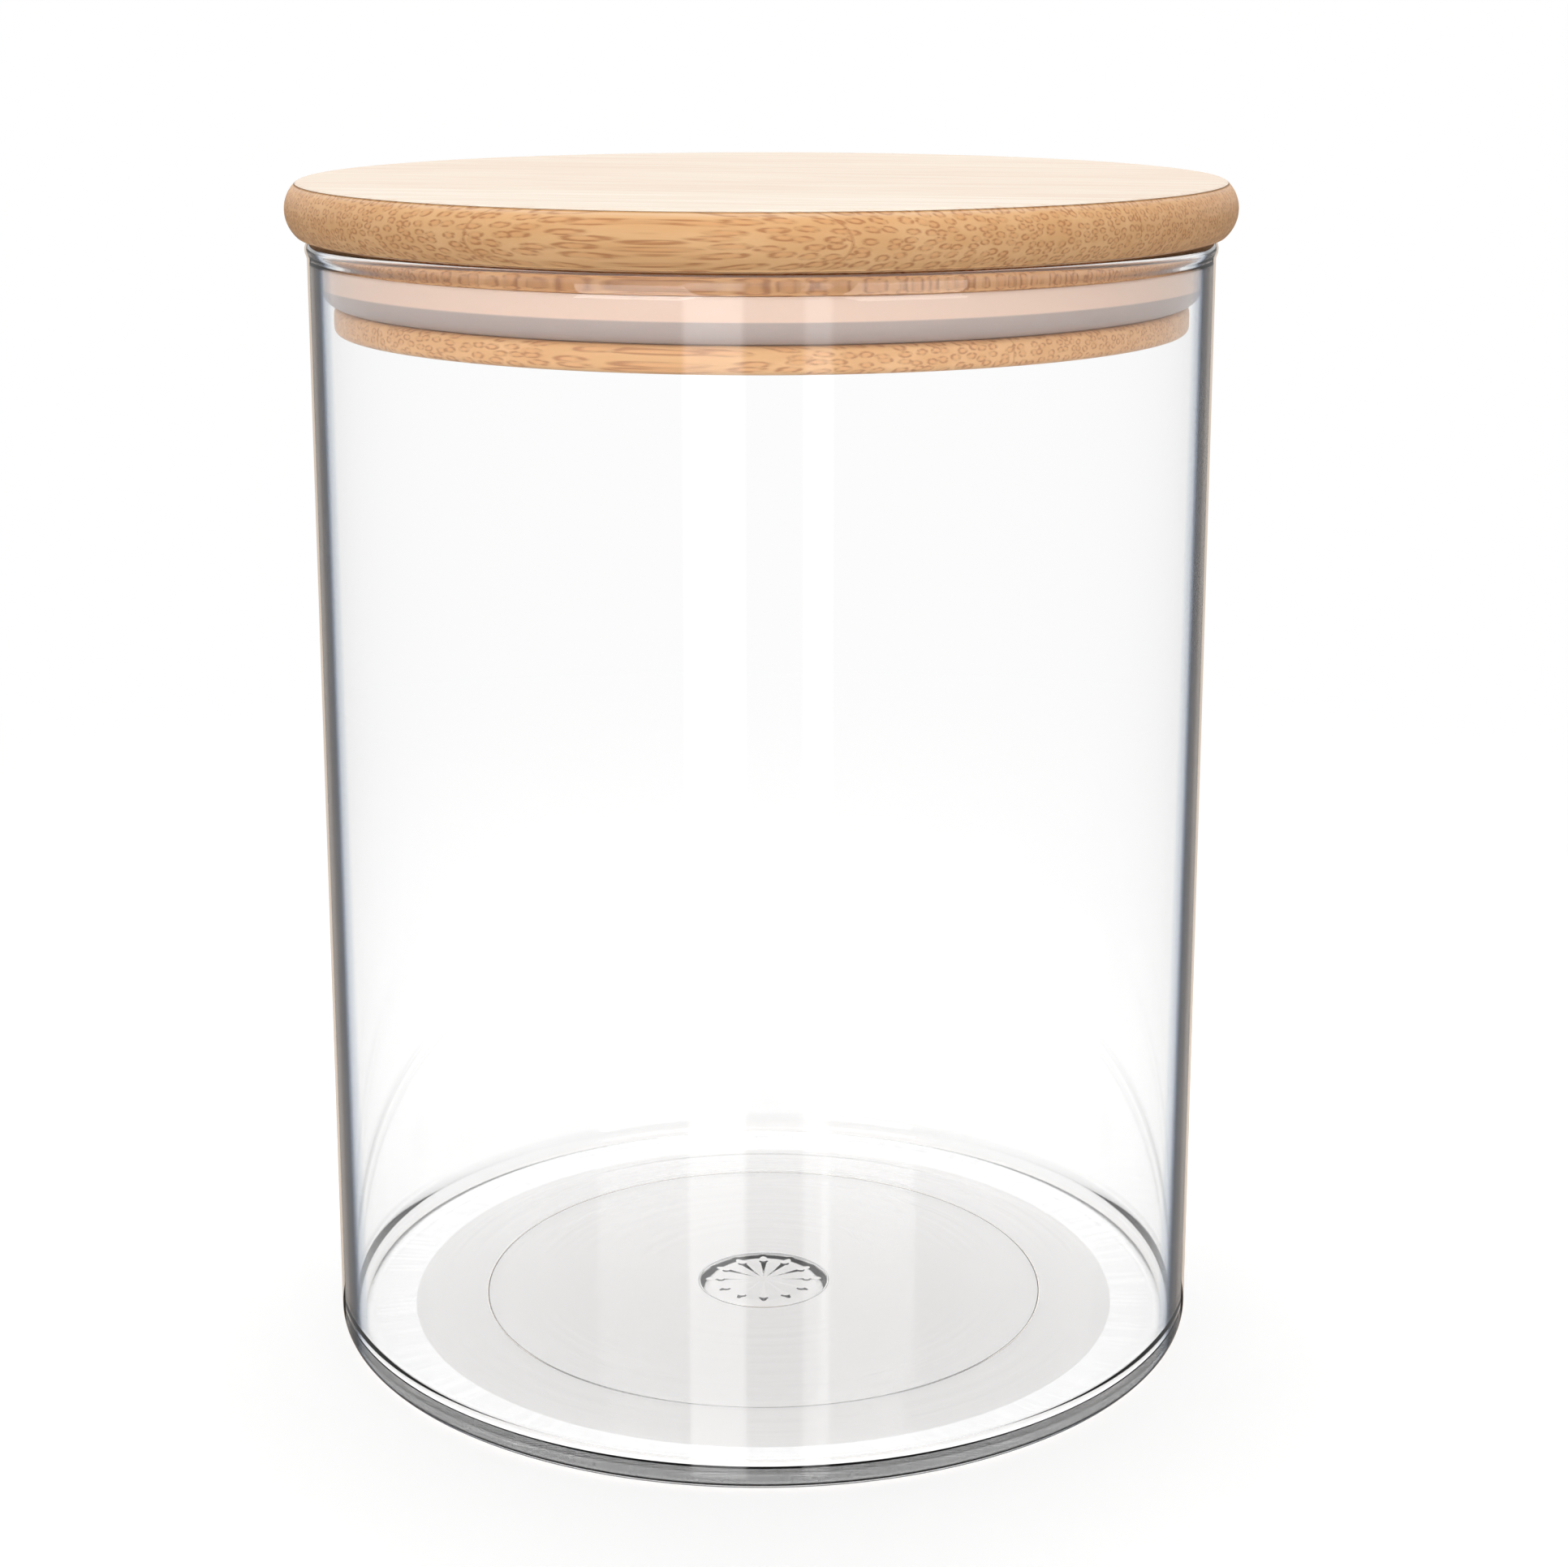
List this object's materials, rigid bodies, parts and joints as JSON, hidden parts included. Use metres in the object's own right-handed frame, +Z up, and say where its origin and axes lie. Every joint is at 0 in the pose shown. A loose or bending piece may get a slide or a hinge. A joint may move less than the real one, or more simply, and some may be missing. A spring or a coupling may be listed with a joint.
{
  "type": "sourdough starter jar",
  "caption": "Straight-sided clear glass jar with a flat bamboo lid whose plug pushes into the mouth and is sealed by a silicone ring.",
  "frame": {"origin": "centre of the foot of the jar, on the surface that it stands on", "axes": "+Z up along the jar's axis, through the lid; +X to the right and +Y away from someone who faces the jar"},
  "size_m": [0.1098, 0.1098, 0.139],
  "materials": {
    "clear_glass": "clear, fire-polished",
    "bamboo": "sanded, thin clear oil",
    "silicone": "frosted, translucent"
  },
  "bodies": {
    "jar": {"glass_jar": "clear_glass"},
    "lid": {"lid_disc": "bamboo", "lid_plug": "bamboo", "seal_ring": "silicone"}
  },
  "joints": [
    {"name": "lid_lift", "type": "slide", "parent": "jar", "child": "lid", "axis": [0, 0, 1], "range_m": [0, 0.06]}
  ]
}
